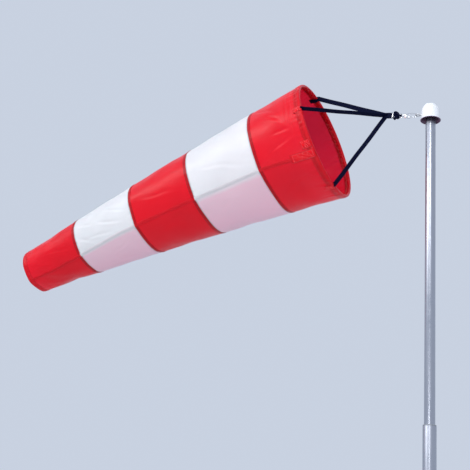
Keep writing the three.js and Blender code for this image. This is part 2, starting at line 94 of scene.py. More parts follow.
class SockLine:
    """The sock's bowed middle line and its straight taper, measured on the frame's nodes."""

    def __init__(self):
        hem = node_points("mouth_hem")
        tail = node_points("tail_hem")
        top = Vector(hem[hem[:, 2].argmax()])
        bottom = Vector(hem[hem[:, 0].argmax()])
        self.up = top - bottom
        self.up.y = 0
        self.mouth_radius = self.up.length / 2
        self.up.normalize()
        self.along = Vector((-self.up.z, 0, self.up.x))
        self.mouth = (top + bottom) / 2
        self.mouth.y = 0
        chord = np.array(self.mouth) - tail.mean(axis=0)
        reach = (tail - tail.mean(axis=0)) @ (-chord / np.linalg.norm(chord))
        edge = tail[reach > reach.max() - 7 * MM]  # the open end's own corners
        self.tail = Vector(edge.mean(axis=0))
        self.tail.y = 0
        self.tail_radius = (edge[:, 1].max() - edge[:, 1].min()) / 2
        chord = self.tail - self.mouth
        lean = math.atan2(-chord.dot(self.up), chord.dot(self.along))
        self.bow = 2 * lean
        self.length = chord.length * lean / math.sin(lean)

    def frame_at(self, s):
        bend = self.bow * max(s, 0) / self.length
        along = self.along * math.cos(bend) - self.up * math.sin(bend)
        return along, self.up * math.cos(bend) + self.along * math.sin(bend)

    def centre(self, s):
        if s <= 0:
            return self.mouth + self.along * s
        rate = self.bow / self.length
        bend = rate * s
        return self.mouth - self.up * ((1 - math.cos(bend)) / rate) + self.along * (math.sin(bend) / rate)

    def measure(self, points):
        """How far along the sock each point is."""
        rate = self.bow / self.length
        arm = points - np.array(self.mouth - self.up / rate)
        return np.arctan2(arm @ np.array(self.along), arm @ np.array(self.up)) / rate

    def radius(self, s):
        return self.mouth_radius + (self.tail_radius - self.mouth_radius) * s / self.length

    def point(self, s, angle, radius):
        """A point at an angle that runs from the far side over the top to the near side."""
        up = self.frame_at(s)[1]
        return self.centre(s) + up * (math.sin(angle) * radius) + NEAR * (-math.cos(angle) * radius)


LINE = SockLine()
HOOK_DIR = Vector(JOINTS["hook_turn"]["axis"]).normalized()
RING_EYE = Vector(JOINTS["sock_pitch"]["pos_m"])

ENDS = [LINE.measure(node_points(name)) for name in BANDS]
HEM_DEPTH = float(ENDS[0].min())
TAIL_HEM = float(LINE.length - ENDS[-1].max())
SEAMS = [float(a.max() + b.min()) / 2 for a, b in zip(ENDS, ENDS[1:])]


# ---------- Modelling helpers ----------

def deselect():
    if bpy.context.object and bpy.context.object.mode != "OBJECT":
        bpy.ops.object.mode_set(mode="OBJECT")
    bpy.ops.object.select_all(action="DESELECT")


def take(obj):
    """Makes a piece the only one selected."""
    deselect()
    obj.select_set(True)
    bpy.context.view_layer.objects.active = obj


def apply(obj, kind, **settings):
    """Puts a modifier on a piece and applies it."""
    take(obj)
    modifier = obj.modifiers.new(kind.title(), kind)
    for key, value in settings.items():
        setattr(modifier, key, value)
    bpy.ops.object.modifier_apply(modifier=modifier.name)


def merged(obj, join_flats=None):
    """Merges doubles, joins flat faces if told how, and turns every face outwards."""
    take(obj)
    bpy.ops.object.mode_set(mode="EDIT")
    bpy.ops.mesh.select_all(action="SELECT")
    bpy.ops.mesh.remove_doubles(threshold=MERGE)
    if join_flats:
        join_flats()
    bpy.ops.mesh.normals_make_consistent(inside=False)
    bpy.ops.object.mode_set(mode="OBJECT")


def smoothed(obj, sharp):
    """Shades smooth up to an angle in degrees."""
    take(obj)
    bpy.ops.object.shade_smooth_by_angle(angle=math.radians(sharp))


def clean(obj, sharp):
    merged(obj)
    smoothed(obj, sharp)


def finished(obj, name, nodes, finish, body=None):
    """Names a piece, gives it its finish (or two), hangs it on its body and hides the frame nodes it stands for.
    """
    obj.name = obj.data.name = name
    obj.data.materials.clear()
    for each in finish if isinstance(finish, tuple) else (finish,):
        obj.data.materials.append(FINISHES[each])
    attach(obj, body or BODY_OF[nodes[0]])
    if nodes:
        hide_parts(*nodes)
    return obj


def flats_to_faces():
    bpy.ops.mesh.dissolve_limited(angle_limit=math.radians(1))


def flats_to_quads():
    bpy.ops.mesh.tris_convert_to_quads(face_threshold=math.radians(2), shape_threshold=math.radians(120))


def refined(name, node, finish, bevel, sharp=40, segments=2, ring=False):
    """A node's shape with its doubles merged, its flats joined (in quads on a ring) and its edges broken."""
    source = frame["nodes"][node]
    take(source)
    source.hide_set(False)
    bpy.ops.object.duplicate(linked=False)
    obj = bpy.context.object
    for key in list(obj.keys()):
        del obj[key]
    merged(obj, flats_to_quads if ring else flats_to_faces)
    apply(obj, "BEVEL", width=bevel * MM, segments=segments, limit_method="ANGLE",
          angle_limit=math.radians(sharp), use_clamp_overlap=True)
    smoothed(obj, sharp)
    return finished(obj, name, [node], finish)


def wire(points, radius, resolution):
    """A closed round cord along points, as a smooth curve made a mesh."""
    curve = bpy.data.curves.new("wire", "CURVE")
    curve.dimensions = "3D"
    curve.bevel_depth = radius
    curve.bevel_resolution = 3
    curve.resolution_u = resolution
    spline = curve.splines.new("BEZIER")
    spline.bezier_points.add(len(points) - 1)
    for knot, point in zip(spline.bezier_points, points):
        knot.co = point
        knot.handle_left_type = knot.handle_right_type = "AUTO"
    spline.use_cyclic_u = True
    obj = bpy.data.objects.new("wire", curve)
    bpy.context.collection.objects.link(obj)
    take(obj)
    bpy.ops.object.convert(target="MESH")
    obj = bpy.context.object
    clean(obj, 60)
    return obj


def block(size, place, bevel, cuts):
    """A box in mm with rounded edges, finely cut up and stood at its place."""
    deselect()
    bpy.ops.mesh.primitive_cube_add(size=1)
    obj = bpy.context.object
    bpy.ops.object.mode_set(mode="EDIT")
    bpy.ops.mesh.select_all(action="SELECT")
    bpy.ops.transform.resize(value=[x * MM for x in size])
    bpy.ops.mesh.bevel(offset=bevel * MM, segments=3, affect="EDGES")
    bpy.ops.mesh.select_all(action="SELECT")
    bpy.ops.mesh.subdivide(number_cuts=cuts)
    bpy.ops.object.mode_set(mode="OBJECT")
    clean(obj, 40)
    obj.matrix_world = place @ obj.matrix_world
    take(obj)
    bpy.ops.object.transform_apply(location=True, rotation=True, scale=True)
    return obj


def join(pieces):
    """Makes several meshes one piece."""
    deselect()
    for piece in pieces:
        piece.select_set(True)
    bpy.context.view_layer.objects.active = pieces[0]
    bpy.ops.object.join()
    return bpy.context.object


def stand(origin, x_axis, z_axis):
    """A matrix that stands a piece at a point, with its x and z along two directions."""
    z = z_axis.normalized()
    y = z.cross(x_axis).normalized()
    return Matrix.Translation(origin) @ Matrix((y.cross(z), y, z)).transposed().to_4x4()


def linked(name, points, faces):
    """A smooth mesh piece from its corners and faces."""
    mesh = bpy.data.meshes.new(name)
    mesh.from_pydata(points.reshape(-1, 3).tolist(), [], faces.tolist())
    mesh.polygons.foreach_set("use_smooth", [True] * len(mesh.polygons))
    obj = bpy.data.objects.new(name, mesh)
    bpy.context.collection.objects.link(obj)
    return obj


def sheet_mesh(name, grid, uv, closed=False, values=None):
    """A mesh from a grid of points, with the cut size in metres as its UV map and other values as attributes."""
    rows, columns = grid.shape[:2]
    step = np.arange(columns if closed else columns - 1)
    start = np.arange(rows - 1)[:, None] * columns
    left, right = (start + step).ravel(), (start + (step + 1) % columns).ravel()
    faces = np.stack([left, left + columns, right + columns, right], axis=1)
    obj = linked(name, grid, faces)
    flat = uv.reshape(-1, 2)[faces.ravel()].astype(np.float32)
    obj.data.uv_layers.new(name="Cut").data.foreach_set("uv", flat.ravel())
    for key, value in (values or {}).items():
        shares = obj.data.attributes.new(key, "FLOAT", "POINT")
        shares.data.foreach_set("value", value.ravel().astype(np.float32))
    return obj


def sewn(name, grid, uv, values, thickness, nodes, finish, folded=False):
    """A piece of the sock's cloth: its sheet, folded into a tube or not, with its thickness in mm."""
    if folded:
        grid = np.concatenate([grid, grid[:1]])
        values = {key: np.concatenate([value, value[:1]]) for key, value in values.items()}
    obj = sheet_mesh(name, grid, uv, folded, values)
    if folded:
        clean(obj, 60)
    apply(obj, "SOLIDIFY", thickness=thickness * MM, offset=-1)
    return finished(obj, name, nodes, finish, body="sock")


# ---------- Finishes ----------

class Finish:
    """A material on the Principled shader: fixed numbers on its sockets, patterns from nodes."""

    def __init__(self, name, sockets):
        self.material = FINISHES[name] = bpy.data.materials.new(name)
        self.material.use_nodes = True
        self.nodes = self.material.node_tree.nodes
        self.links = self.material.node_tree.links
        self.shader = self.nodes["Principled BSDF"]
        for socket, value in sockets.items():
            self.shader.inputs[socket].default_value = value
        self.relief = None
        self.place = self.add("TexCoord").outputs["Object"]

    def add(self, kind, inputs=None, **settings):
        node = self.nodes.new("ShaderNode" + kind)
        for key, value in settings.items():
            setattr(node, key, value)
        for socket, value in (inputs or {}).items():
            if isinstance(value, bpy.types.NodeSocket):
                self.links.new(value, node.inputs[socket])
            else:
                node.inputs[socket].default_value = value
        return node

    def cut(self):
        return self.add("UVMap", uv_map="Cut").outputs["UV"]

    def value(self, name):
        return self.add("Attribute", attribute_name=name).outputs["Fac"]

    def stretched(self, source, scale):
        return self.add("Mapping", {"Vector": source, "Scale": scale}).outputs["Vector"]

    def noise(self, scale, detail=3, source=None, roughness=0.5, distortion=0):
        inputs = {"Vector": source or self.place, "Scale": scale, "Detail": detail, "Roughness": roughness,
                  "Distortion": distortion}
        return self.add("TexNoise", inputs).outputs["Fac"]

    def threads(self, pitch, direction, source):
        """A row of round threads across one direction, a pitch apart in metres."""
        return self.add("TexWave", {"Vector": source, "Scale": math.pi / (10 * pitch), "Distortion": 0.0},
                        bands_direction=direction).outputs["Fac"]

    def spread(self, value, low, high, start=0.3, end=0.7):
        inputs = {"Value": value, "From Min": start, "From Max": end, "To Min": low, "To Max": high}
        return self.add("MapRange", inputs).outputs["Result"]

    def maths(self, operation, a, b):
        return self.add("Math", {0: a, 1: b}, operation=operation).outputs[0]

    def mixed(self, factor, a, b):
        a, b = [(*c, 1) if isinstance(c, tuple) else c for c in (a, b)]
        return self.add("Mix", {0: factor, 6: a, 7: b}, data_type="RGBA").outputs[2]

    def raise_by(self, height, distance, strength):
        inputs = {"Height": height, "Distance": distance, "Strength": strength}
        if self.relief:
            inputs["Normal"] = self.relief
        self.relief = self.add("Bump", inputs).outputs["Normal"]

    def done(self, colour=None, roughness=None):
        for socket, value in (("Base Color", colour), ("Roughness", roughness), ("Normal", self.relief)):
            if value is not None:
                self.links.new(value, self.shader.inputs[socket])


def shade(colour, factor):
    return tuple(min(1.0, c * factor) for c in colour[:3])


def nylon(name, colour, glow, painted_glow_colour=None):
    """Thin woven nylon that lets light through, with painted shade along its seams, and a painted red glow on its
    underside when a glow colour is given.
    """
    cloth = Finish(name, {
        "Specular IOR Level": 0.17,
        "Subsurface Weight": glow, "Subsurface Radius": (1.0, 0.8, 0.8), "Subsurface Scale": 3 * MM,
    })
    cut = cloth.cut()
    broad = cloth.noise(7, 4)
    base = cloth.mixed(cloth.spread(broad, 0, 1), shade(colour, 0.93), shade(colour, 1.04))
    # Painted light: the white cloth turns pink towards its underside, standing in for red light from inside the
    # sock.
    if painted_glow_colour:
        base = cloth.mixed(cloth.value("under"), base, painted_glow_colour)
    # Darker along seams, hems and patch edges: painted shade of their folds, and some grime along the stitching.
    base = cloth.mixed(cloth.spread(cloth.value("seam"), 0, 0.85, 0.25, 1), base, shade(colour, 0.4))
    slubs = cloth.noise(420, 2, cloth.stretched(cut, (0.25, 3, 1)))
    base = cloth.mixed(cloth.spread(slubs, 0, 0.16), base, shade(colour, 0.82))
    weave = cloth.maths("ADD", cloth.threads(0.45 * MM, "X", cut), cloth.threads(0.45 * MM, "Y", cut))
    cloth.raise_by(weave, 0.05 * MM, 0.5)
    cloth.raise_by(cloth.noise(38, 3, cloth.stretched(cut, (1, 0.45, 1)), 0.55, 0.8), 0.4 * MM, 0.12)
    cloth.done(base, cloth.spread(cloth.noise(60, 3), 0.29, 0.39))


def webbing(name, colour):
    """Narrow woven strap: ribs across it, fine lines along it and a little worn fuzz."""
    strap = Finish(name, {"Specular IOR Level": 0.03})
    cut = strap.cut()
    fuzz = strap.noise(900, 3)
    base = strap.mixed(strap.spread(fuzz, 0, 1), shade(colour, 0.7), shade(colour, 1.6))
    base = strap.mixed(strap.spread(strap.noise(45, 3), 0, 0.5), base, shade(colour, 1.5))
    strap.raise_by(strap.threads(1.3 * MM, "Y", cut), 0.25 * MM, 0.8)
    strap.raise_by(strap.threads(1.0 * MM, "X", cut), 0.15 * MM, 0.6)
    strap.raise_by(fuzz, 0.08 * MM, 0.4)
    strap.done(base, strap.spread(fuzz, 0.6, 0.85))


def braid(name, colour):
    """Braided cord: strands as a pattern of stretched cells, with painted shade between them and a little fuzz."""
    cord = Finish(name, {"Specular IOR Level": 0.05})
    fuzz = cord.noise(1200, 3)
    cells = cord.add("TexVoronoi", {"Vector": cord.stretched(cord.place, (1, 1.6, 0.8)), "Scale": 900})
    # Painted shade: each cell is lighter in its middle and darker towards its edge, shading the strands.
    base = cord.mixed(cells.outputs["Distance"], shade(colour, 1.8), shade(colour, 0.5))
    cord.raise_by(cells.outputs["Distance"], 0.25 * MM, 0.8)
    cord.raise_by(fuzz, 0.05 * MM, 0.5)
    cord.done(base, cord.spread(fuzz, 0.6, 0.85))


def metal(name, colour, roughness, grain=(1, 1, 1), wear=0.25):
    """Bare metal: fine grain along one direction, smudges, and small dents of handling."""
    bare = Finish(name, {"Metallic": 1.0, "Specular IOR Level": 0.5})
    lines = bare.noise(700, 4, bare.stretched(bare.place, grain), 0.6)
    smudge = bare.noise(22, 4, None, 0.6)
    base = bare.mixed(bare.spread(smudge, 0, wear), colour[:3], shade(colour, 0.7))
    base = bare.mixed(bare.spread(lines, 0, 0.15), base, shade(colour, 0.82))
    bare.raise_by(lines, 0.01 * MM, 0.06)
    bare.raise_by(bare.noise(160, 2), 0.03 * MM, 0.08)
    rough = bare.maths("ADD", bare.spread(smudge, roughness * 0.8, roughness * 1.3),
                       bare.spread(lines, -0.04, 0.06))
    bare.done(base, rough)


def moulded(name, colour, roughness, pebble=0.06, coat=0.0, scale=900):
    """Moulded plastic, paint or rubber: a fine pebble, broad faint stains and dust."""
    part = Finish(name, {"Specular IOR Level": 0.5, "Coat Weight": coat, "Coat Roughness": 0.12})
    stain = part.noise(18, 4, None, 0.6)
    base = part.mixed(part.spread(stain, 0, 1), shade(colour, 0.92), shade(colour, 1.05))
    base = part.mixed(part.spread(part.noise(120, 5, None, 0.7), 0, 0.3, 0.5, 0.8), base,
                      tuple(0.75 * c + 0.25 * 0.35 for c in colour[:3]))
    part.raise_by(part.noise(scale, 3), pebble * MM, 0.4)
    part.done(base, part.spread(stain, roughness * 0.85, min(1, roughness * 1.2)))


# ---------- Sizes and colours to change ----------

class SockCut(bpy.types.PropertyGroup):
    """How the sock is cut and sewn."""
    cloth: FloatProperty(name="Cloth", description="Thickness of the nylon", default=0.3 * MM,
                         unit="LENGTH", min=0.1 * MM, max=2 * MM)
    spare: FloatProperty(name="Spare cloth", description="Share of cloth beyond the taut size, which puckers",
                         default=0.009, min=0, max=0.05)
    seam_angle: FloatProperty(name="Lengthwise seam", description="Angle of the lengthwise seam from the far side",
                              default=math.radians(213), subtype="ANGLE")
    seam_start: FloatProperty(name="Seam start", description="How far below its line the seam starts at the mouth",
                              default=math.radians(4.5), subtype="ANGLE")
    seam_drift: FloatProperty(name="Seam drift", description="How far the lengthwise seam wanders by the tail",
                              default=math.radians(14), subtype="ANGLE")
    seam_width: FloatProperty(name="Seam width", description="Width of a felled seam", default=8.8 * MM,
                              unit="LENGTH")
    pucker: FloatProperty(name="Pucker", description="Height of the puckers beside a seam", default=0.7 * MM,
                          unit="LENGTH")
    stitch: FloatProperty(name="Stitch", description="Length of one stitch", default=4 * MM, unit="LENGTH")
    columns: IntProperty(name="Columns", description="Cloth columns round the sock", default=132, min=24)


class SockColours(bpy.types.PropertyGroup):
    """Colours of the cloth, the webbing and the pole."""
    red: FloatVectorProperty(name="Red nylon", description="Red bands, hems and seams", subtype="COLOR",
                             default=(0.84, 0.004, 0.013))
    white: FloatVectorProperty(name="White nylon", description="White bands", subtype="COLOR",
                               default=(0.88, 0.84, 0.85))
    # Painted light: this pink on the white nylon's underside stands in for red light that shines through and
    # bounces inside the sock, not for dye.
    painted_red_glow: FloatVectorProperty(name="Blush", description="White nylon low down, where red dye has bled into it",
                               subtype="COLOR", default=(1.0, 0.47, 0.58))
    webbing: FloatVectorProperty(name="Webbing", description="Straps and sleeve", subtype="COLOR",
                                 default=(0.0030, 0.0045, 0.019))
    thread: FloatVectorProperty(name="Pale thread", description="Thread of the patches and of the rim's zigzag",
                                subtype="COLOR", default=(1.0, 0.27, 0.28))
    pole: FloatVectorProperty(name="Pole", description="Satin aluminium", subtype="COLOR",
                              default=(0.45, 0.47, 0.53))
    cap: FloatVectorProperty(name="Cap", description="Paint of the swivel cap", subtype="COLOR",
                             default=(0.90, 0.91, 0.93))


class Studio(bpy.types.PropertyGroup):
    """Floor, lights and camera."""
    floor: FloatVectorProperty(name="Floor", description="Colour of the floor", subtype="COLOR",
                               default=(0.80, 0.81, 0.82))
    sky: FloatVectorProperty(name="Surround", description="Even light from all round", subtype="COLOR",
                             default=(0.58, 0.64, 0.75))
    key: FloatProperty(name="Key light", description="Power of the large soft light", default=67, unit="POWER")
    camera: FloatVectorProperty(name="Camera", description="Where the camera stands", subtype="TRANSLATION",
                                default=(0.5640, -2.0474, 1.3671))
    yaw: FloatProperty(name="Yaw", description="Camera's heading", default=math.radians(-28.354), subtype="ANGLE")
    pitch: FloatProperty(name="Pitch", description="Camera's tilt", default=math.radians(19.013), subtype="ANGLE")
    roll: FloatProperty(name="Roll", description="Camera's roll", default=math.radians(4.461), subtype="ANGLE")
    lens: FloatProperty(name="Lens", description="Focal length in millimetres", default=68.94)


def sizes():
    return bpy.context.scene.sock_cut


def colours():
    return bpy.context.scene.sock_colours


# ---------- The cloth's surface ----------

def wrapped(angle):
    """An angle from -pi to pi."""
    return (angle + np.pi) % (2 * np.pi) - np.pi


def smooth(value):
    value = np.clip(value, 0, 1)
    return value * value * (3 - 2 * value)


def seam_at(s):
    """The lengthwise seam's angle, which starts low at the mouth and wanders down again towards the tail."""
    cut = sizes()
    return (cut.seam_angle + cut.seam_start * (1 - smooth(s / SEAMS[0]))
            + cut.seam_drift * smooth((s - SEAMS[2]) / (LINE.length - SEAMS[2])))


def filled_radius(s, angle):
    """The sock's radius when full: the wind flattens the panel below the seam, which stands out as a ridge."""
    below = wrapped(angle - seam_at(s))
    panel = np.clip(below / math.radians(62), 0, 1)
    flat = 0.045 * np.sin(np.pi * panel) ** 2
    above = 0.02 * np.sin(np.pi * np.clip(-below / math.radians(50), 0, 1)) ** 2
    ridge = 0.012 * np.exp(-(below / math.radians(7)) ** 2)
    grip = smooth(s / 0.08)
    return LINE.radius(s) * (1 + grip * (ridge - flat - above)) - 0.4 * MM


def place_rows(s, angle, radius):
    """Points for arrays of distance, angle and radius."""
    s, angle, radius = np.broadcast_arrays(s, angle, radius)
    points = np.empty(s.shape + (3,))
    for i in range(s.shape[0]):
        centre = np.array(LINE.centre(float(s[i, 0])))
        up = np.array(LINE.frame_at(float(s[i, 0]))[1])
        points[i] = centre + np.outer(np.sin(angle[i]) * radius[i], up) - np.outer(
            np.cos(angle[i]) * radius[i], np.array(NEAR))
    return points


def row_stations():
    """Distances of the cloth's rows, with a row on each ring seam."""
    ends = [HEM_DEPTH - 3 * MM] + SEAMS + [LINE.length - 2 * MM]
    counts = [14, 18, 18, 18, 18]
    rows = [np.linspace(a, b, n, endpoint=False) for a, b, n in zip(ends, ends[1:], counts)]
    return np.concatenate(rows + [[ends[-1]]])


BLOW_STEPS = 22
MOST_BLOWN = 7 * MM  # the wind moves no place of the cloth farther than this


def blown(grid, rows):
    """The cloth after the wind has filled it, held at its hoop, seams and hem."""
    count = grid.shape[1]
    obj = sheet_mesh("cloth", grid, np.zeros(grid.shape[:2] + (2,)), closed=True)
    held = obj.vertex_groups.new(name="held")
    for i, s in enumerate(rows):
        seam = min(abs(s - x) for x in SEAMS) < 0.1 * MM
        weight = 1.0 if i < 2 else 0.45 if seam else 0.6 if i >= len(rows) - 3 else 0.03
        for j in range(count):
            held.add([i * count + j], max(weight, 0.25 if j == 0 else 0), "REPLACE")
    take(obj)
    cloth = obj.modifiers.new("Cloth", "CLOTH")
    setting = cloth.settings
    setting.quality = 5
    setting.mass = 0.0002
    setting.tension_stiffness = setting.compression_stiffness = 18
    setting.shear_stiffness = 6
    setting.bending_stiffness = 0.4
    setting.tension_damping = setting.compression_damping = 12
    setting.air_damping = 3
    setting.use_pressure = True
    setting.uniform_pressure_force = 1.2
    setting.vertex_group_mass = "held"
    setting.pin_stiffness = 1.0
    setting.shrink_min = -sizes().spare
    setting.effector_weights.gravity = 0.25
    cloth.collision_settings.use_self_collision = False
    scene = bpy.context.scene
    cloth.point_cache.frame_start, cloth.point_cache.frame_end = 1, BLOW_STEPS
    for step in range(1, BLOW_STEPS + 1):
        scene.frame_set(step)
    done = obj.evaluated_get(bpy.context.evaluated_depsgraph_get())
    points = np.empty(len(done.data.vertices) * 3)
    done.data.vertices.foreach_get("co", points)
    scene.frame_set(1)
    bpy.data.objects.remove(obj)
    moved = points.reshape(grid.shape) - grid
    for _ in range(4):
        moved = (np.roll(moved, 1, 1) + 2 * moved + np.roll(moved, -1, 1)) / 4
        inner = (moved[:-2] + 2 * moved[1:-1] + moved[2:]) / 4
        moved = np.concatenate([moved[:1], inner, moved[-1:]])
    reach = np.linalg.norm(moved, axis=2, keepdims=True)
    return grid + moved * np.minimum(1, MOST_BLOWN / np.maximum(reach, 1e-9))


def between(values, closed):
    """Twice as many rows, the new ones on a smooth curve through the old."""
    if closed:
        before, after, last = np.roll(values, 1, 0), np.roll(values, -1, 0), np.roll(values, -2, 0)
    else:
        first = np.concatenate([2 * values[:1] - values[1:2], values, 2 * values[-1:] - values[-2:-1],
                                3 * values[-1:] - 2 * values[-2:-1]])
        before, after, last = first[:-3], first[2:-1], first[3:]
    middle = (9 * (values + after) - before - last) / 16
    both = np.stack([values, middle], axis=1).reshape((-1,) + values.shape[1:])
    return both if closed else both[:-1]


class Skin:
    """The sock's blown surface, looked up by distance along it and angle past the lengthwise seam."""

    def __init__(self):
        rows = row_stations()
        turn = np.arange(sizes().columns) * 2 * np.pi / sizes().columns
        angle = turn[None, :] + np.array([seam_at(s) for s in rows])[:, None]
        s = np.repeat(rows[:, None], len(turn), axis=1)
        grid = place_rows(s, angle, filled_radius(s, angle))
        grid = blown(grid, rows)
        grid = between(between(grid, False).swapaxes(0, 1), True).swapaxes(0, 1)
        self.rows = between(rows[:, None], False)[:, 0]
        self.grid = grid
        across = np.roll(grid, -1, 1) - np.roll(grid, 1, 1)
        along = np.gradient(grid, axis=0)
        normal = np.cross(along, across)
        normal /= np.linalg.norm(normal, axis=2, keepdims=True)
        outward = grid - grid.mean(axis=1, keepdims=True)
        self.normal = normal * np.sign((normal * outward).sum())
        self.count = grid.shape[1]

    def at(self, s, turn, lift=0.0):
        """Points at distances s and angles past the seam, lifted off the cloth, puckers and creases added."""
        s, turn, lift = np.broadcast_arrays(s, turn, lift)
        shape = s.shape
        s, turn, lift = s.ravel(), turn.ravel() % (2 * np.pi), lift.ravel()
        i = np.clip(np.searchsorted(self.rows, s, side="right") - 1, 0, len(self.rows) - 2)
        t = (s - self.rows[i]) / (self.rows[i + 1] - self.rows[i])
        c = turn * self.count / (2 * np.pi)
        j = np.floor(c).astype(int) % self.count
        u = c - np.floor(c)
        out = []
        for values in (self.grid, self.normal):
            k = (j + 1) % self.count
            near = values[i, j] * (1 - u)[:, None] + values[i, k] * u[:, None]
            far = values[i + 1, j] * (1 - u)[:, None] + values[i + 1, k] * u[:, None]
            out.append(near * (1 - t)[:, None] + far * t[:, None])
        point, normal = out
        normal /= np.linalg.norm(normal, axis=1, keepdims=True)
        height = lift + puckers(s, turn) + creases(s, turn)
        return (point + normal * height[:, None]).reshape(shape + (3,))


def wave_sum(turn, counts, seed):
    """A wandering wave round the sock, the same each time."""
    phases = np.random.default_rng(seed).uniform(0, 2 * np.pi, len(counts))
    return sum(np.sin(n * turn + p) for n, p in zip(counts, phases)) / math.sqrt(len(counts))


def puckers(s, turn):
    """Small gathers that run out from each ring seam, the hoop's hem and the tail's hem."""
    height = np.zeros_like(s)
    places = [(HEM_DEPTH, 1.5, 15 * MM)] + [(x, 0.8, 9 * MM) for x in SEAMS]
    places += [(LINE.length - TAIL_HEM, 0.7, 7 * MM)]
    for seed, (place, strength, fade) in enumerate(places):
        crowd = LINE.radius(place) / LINE.mouth_radius
        counts = [round(n * crowd ** 0.6) for n in (23, 37, 52, 71)]
        away = np.abs(s - place)
        ridge = wave_sum(turn, counts, seed) * (0.7 + 0.3 * np.sin(3 * turn + seed))
        height += sizes().pucker * strength * ridge * np.exp(-away / fade) * smooth(away / (2.5 * MM) + 0.35)
    kink = np.exp(-(wrapped(turn) * LINE.radius(s) / (9 * MM)) ** 2)
    for place in SEAMS:
        height += 1.6 * MM * kink * np.exp(-np.abs(s - place) / (14 * MM)) * np.cos((s - place) / (7 * MM))
    return height


CREASE_PRESS = 1.35  # every crease is pressed this much deeper than its own depth

# Each crease: where it starts and ends (distance along the sock, degrees past the seam), its depth and half width.
CREASES = [
    (0.026, -24, 0.023, -80, 1.7, 3.0), (0.036, -14, 0.032, -88, 1.9, 3.4), (0.050, -30, 0.043, -78, 1.5, 3.6),
    (0.597, -14, 0.700, -40, 1.5, 5.0), (0.588, -30, 0.672, -58, 1.3, 4.5), (0.640, -8, 0.735, -20, 1.1, 4.5),
    (0.700, -36, 0.765, -60, 1.4, 5.0), (0.722, -10, 0.770, -34, 1.4, 4.5), (0.600, 16, 0.690, 30, 0.8, 6.0),
    (0.180, -10, 0.330, -34, 0.9, 7.0), (0.200, -50, 0.350, -72, 0.7, 8.0), (0.250, 14, 0.350, 34, 0.6, 8.0),
    (0.052, -38, 0.120, -58, 1.5, 6.0), (0.050, -46, 0.150, -80, 1.1, 7.0), (0.046, -30, 0.098, -30, 1.2, 5.0),
    (0.040, -24, 0.140, -8, 1.2, 6.0), (0.055, -98, 0.110, -112, 1.4, 6.0), (0.050, 18, 0.130, 34, 1.2, 7.0),
    (0.400, -20, 0.540, -36, 0.8, 7.0), (0.390, 10, 0.520, 22, 0.6, 7.0), (0.800, -24, 0.900, -44, 0.7, 5.0),
    (0.620, 150, 0.740, 170, 1.2, 6.0), (0.220, 120, 0.330, 150, 1.2, 7.0), (0.050, 140, 0.140, 160, 1.8, 7.0),
    (0.420, 170, 0.540, 200, 1.0, 7.0), (0.050, 80, 0.140, 92, 1.8, 7.0), (0.820, 120, 0.920, 140, 0.9, 5.0),
]


def creases(s, turn):
    """Soft creases pressed into the cloth, each along its own line."""
    height = np.zeros_like(s)
    for start, start_turn, end, end_turn, depth, width in CREASES:
        girth = LINE.radius((start + end) / 2)
        middle = math.radians((start_turn + end_turn) / 2)
        x, y = s - (start + end) / 2, wrapped(turn - middle) * girth
        run = Vector((end - start, math.radians(end_turn - start_turn) * girth))
        length = run.length
        run /= length
        along, off = x * run.x + y * run.y, y * run.x - x * run.y
        fade = 1 - smooth(np.abs(along) / (0.62 * length))
        off = off / (width * MM) + 0.35 * np.sin(along / (18 * MM) + start * 40)
        height += CREASE_PRESS * depth * MM * fade * (0.6 * np.exp(-(off - 0.9) ** 2) - np.exp(-off ** 2))
    return height * smooth((s - HEM_DEPTH) / (6 * MM))


# ---------- Sock pieces ----------

def skin():
    if "skin" not in SHARED:
        SHARED["skin"] = Skin()
    return SHARED["skin"]


def turns(count):
    """Angles past the seam all the way round, the last on the first."""
    return np.linspace(0, 2 * np.pi, count + 1)


# Mask for the painted shade along seams and hems.
def seam_nearness(s, turn):
    """How near each place is to a ring seam, a hem or the lengthwise seam, from 0 to 1."""
    rings = [HEM_DEPTH] + SEAMS + [LINE.length - TAIL_HEM]
    near = sum(np.exp(-np.abs(s - x) / (3 * MM)) for x in rings)
    return np.clip(near + np.exp(-np.abs(wrapped(turn)) * LINE.radius(s) / (2.5 * MM)), 0, 1)


# Mask for the painted red glow on the white nylon, strongest on the underside.
def undersides(turn):
    """How far each place has turned to the underside, from 0 to 1."""
    degrees = np.degrees(turn % (2 * np.pi))
    low = smooth(degrees / 8) * (1 - smooth((degrees - 95) / 50))
    return low * (0.8 + 0.2 * smooth(degrees / 60))


def nylon_for(name):
    return "red_nylon" if "red" in name else "white_nylon"


def band_piece(index):
    """One cone-shaped band of cloth, cut from a flat sheet and closed by the lengthwise seam."""
    name = BANDS[index]
    start = HEM_DEPTH - 3 * MM if index == 0 else SEAMS[index - 1]
    end = LINE.length - 3 * MM if index == len(BANDS) - 1 else SEAMS[index]
    rows = np.linspace(start, end, round((end - start) / (4 * MM)))
    s, turn = np.meshgrid(rows, turns(440), indexing="ij")
    girth = LINE.radius((start + end) / 2)
    uv = np.stack([turn * girth, s], axis=2)
    # The 'seam' value paints shade near seams and hems, and the 'under' value paints the red glow on the white
    # bands.
    values = {"seam": seam_nearness(s, turn), "under": undersides(turn)}
    obj = sewn(name + "_cloth", skin().at(s, turn), uv, values, sizes().cloth / MM, [name], nylon_for(name))


# A felled seam's cross-section: share of its width, and lift off the cloth in mm.
FELLED = [(0.0, 0.02), (0.05, 0.6), (0.2, 0.85), (0.3, 0.3), (0.4, 0.85), (0.6, 0.9), (0.7, 0.3), (0.8, 0.85),
          (0.95, 0.6), (1.0, 0.02)]
STITCH_LINES = (0.3, 0.7)
SEAM_CLOTH = 0.2  # thickness in mm of a seam's own layer


def felled_side(index):
    """Which way a ring seam folds: onto the red band of the two."""
    return -1 if "red" in BANDS[index] else 1


